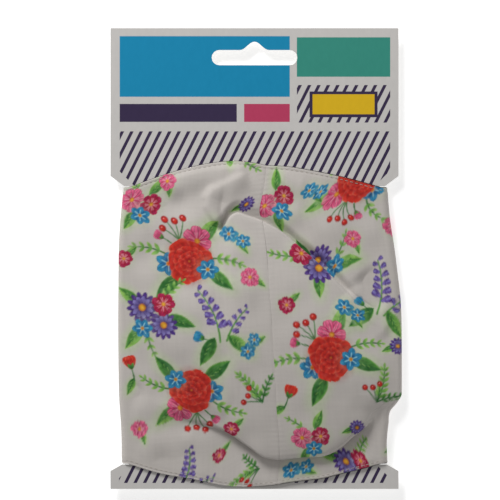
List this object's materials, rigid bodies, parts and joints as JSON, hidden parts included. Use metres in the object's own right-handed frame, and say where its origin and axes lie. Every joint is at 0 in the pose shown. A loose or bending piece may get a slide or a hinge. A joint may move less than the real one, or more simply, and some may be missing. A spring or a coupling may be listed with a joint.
{
  "type": "cloth face mask on a backing card",
  "caption": "Contoured cloth face mask with a centre seam and folded dome, wrapped round the narrowed waist of a flat card with a hang slot.",
  "frame": {"origin": "middle of the footprint, on the surface that the rear wings lie on", "axes": "+X to the right of the card's front, +Y towards the hang slot, +Z out of the card's front, through the mask's dome"},
  "size_m": [0.1264, 0.2, 0.015],
  "materials": {
    "card_board": "printed paperboard, satin",
    "mask_cotton": "plain-woven printed cotton, matt"
  },
  "bodies": {
    "root": {"backing_card": "card_board", "mask_panel_left": "mask_cotton", "mask_panel_right": "mask_cotton"}
  },
  "joints": []
}
